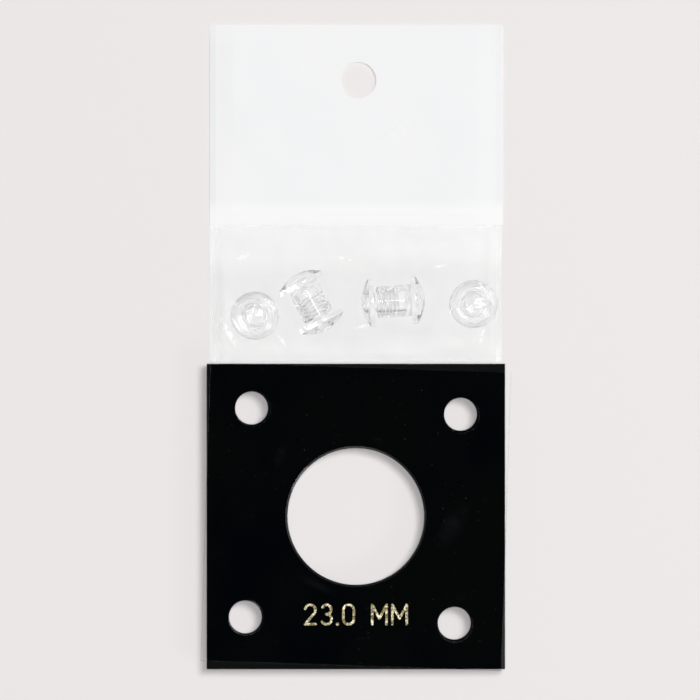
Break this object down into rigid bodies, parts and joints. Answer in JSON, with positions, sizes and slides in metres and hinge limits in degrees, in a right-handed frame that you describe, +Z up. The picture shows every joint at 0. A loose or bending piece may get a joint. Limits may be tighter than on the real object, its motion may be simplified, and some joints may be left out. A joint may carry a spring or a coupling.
{
  "type": "coin holder",
  "caption": "Square three-layer plastic coin holder with a round coin pocket in a black plate between clear covers, laid out with its clear two-part screws on their hang bag.",
  "frame": {"origin": "middle of the rear cover's back face, on the surface that the holder lies on", "axes": "+Z up through the stack of plates, +Y from the plates towards the bag, +X across"},
  "size_m": [0.0528, 0.1099, 0.0111],
  "materials": {
    "black_acrylic": "polished sheet with fine scratches",
    "clear_acrylic": "polished clear sheet",
    "gold_foil": "hot-stamped foil, slightly uneven",
    "clear_screw": "moulded clear plastic",
    "white_film": "smooth white film",
    "clear_film": "thin clear film, faintly hazy"
  },
  "bodies": {
    "rear_cover": {"rear_cover": "clear_acrylic"},
    "coin_plate": {"coin_plate": "black_acrylic", "size_mark": "gold_foil"},
    "front_cover": {"front_cover": "clear_acrylic"},
    "bag": {"bag_header": "white_film", "bag_front": "clear_film", "bag_back": "clear_film"},
    "screw_1": {"screw_1": "clear_screw"},
    "post_1": {"post_1": "clear_screw"},
    "screw_2": {"screw_2": "clear_screw"},
    "post_2": {"post_2": "clear_screw"},
    "screw_3": {"screw_3": "clear_screw"},
    "post_3": {"post_3": "clear_screw"},
    "screw_4": {"screw_4": "clear_screw"},
    "post_4": {"post_4": "clear_screw"}
  },
  "joints": [
    {"name": "coin_plate_lift", "type": "slide", "parent": "rear_cover", "child": "coin_plate", "axis": [0, 0, 1], "range_m": [0, 0.04]},
    {"name": "front_cover_lift", "type": "slide", "parent": "coin_plate", "child": "front_cover", "axis": [0, 0, 1], "range_m": [0, 0.04]},
    {"name": "bag_slide", "type": "slide", "parent": "rear_cover", "child": "bag", "axis": [0, 1, 0], "range_m": [0, 0.03]},
    {"name": "screw_1_turn", "type": "hinge", "parent": "bag", "child": "screw_1", "pos_m": [-0.0172, 0.03415, 0.00573], "axis": [0, 0, -1], "range_deg": [0, 1801]},
    {"name": "post_1_travel", "type": "slide", "parent": "bag", "child": "post_1", "axis": [0, 0, 1], "range_m": [0, 0.00317]},
    {"name": "screw_2_turn", "type": "hinge", "parent": "bag", "child": "screw_2", "pos_m": [-0.0076, 0.03645, 0.0044], "axis": [0.4695, -0.8829, 0], "range_deg": [0, 1801]},
    {"name": "post_2_travel", "type": "slide", "parent": "bag", "child": "post_2", "axis": [-0.4695, 0.8829, 0], "range_m": [0, 0.00317]},
    {"name": "screw_3_turn", "type": "hinge", "parent": "bag", "child": "screw_3", "pos_m": [0.0063, 0.03665, 0.0044], "axis": [-0.9976, -0.0698, 0], "range_deg": [0, 1801]},
    {"name": "post_3_travel", "type": "slide", "parent": "bag", "child": "post_3", "axis": [0.9976, 0.0698, 0], "range_m": [0, 0.00317]},
    {"name": "screw_4_turn", "type": "hinge", "parent": "bag", "child": "screw_4", "pos_m": [0.02, 0.03615, 0.00573], "axis": [0, 0, -1], "range_deg": [0, 1801]},
    {"name": "post_4_travel", "type": "slide", "parent": "bag", "child": "post_4", "axis": [0, 0, 1], "range_m": [0, 0.00317]}
  ],
  "couplings": [
    {"joint": "screw_1_turn", "follows": "post_1_travel", "rad_per_m": 9894.8},
    {"joint": "screw_2_turn", "follows": "post_2_travel", "rad_per_m": 9894.8},
    {"joint": "screw_3_turn", "follows": "post_3_travel", "rad_per_m": 9894.8},
    {"joint": "screw_4_turn", "follows": "post_4_travel", "rad_per_m": 9894.8}
  ]
}
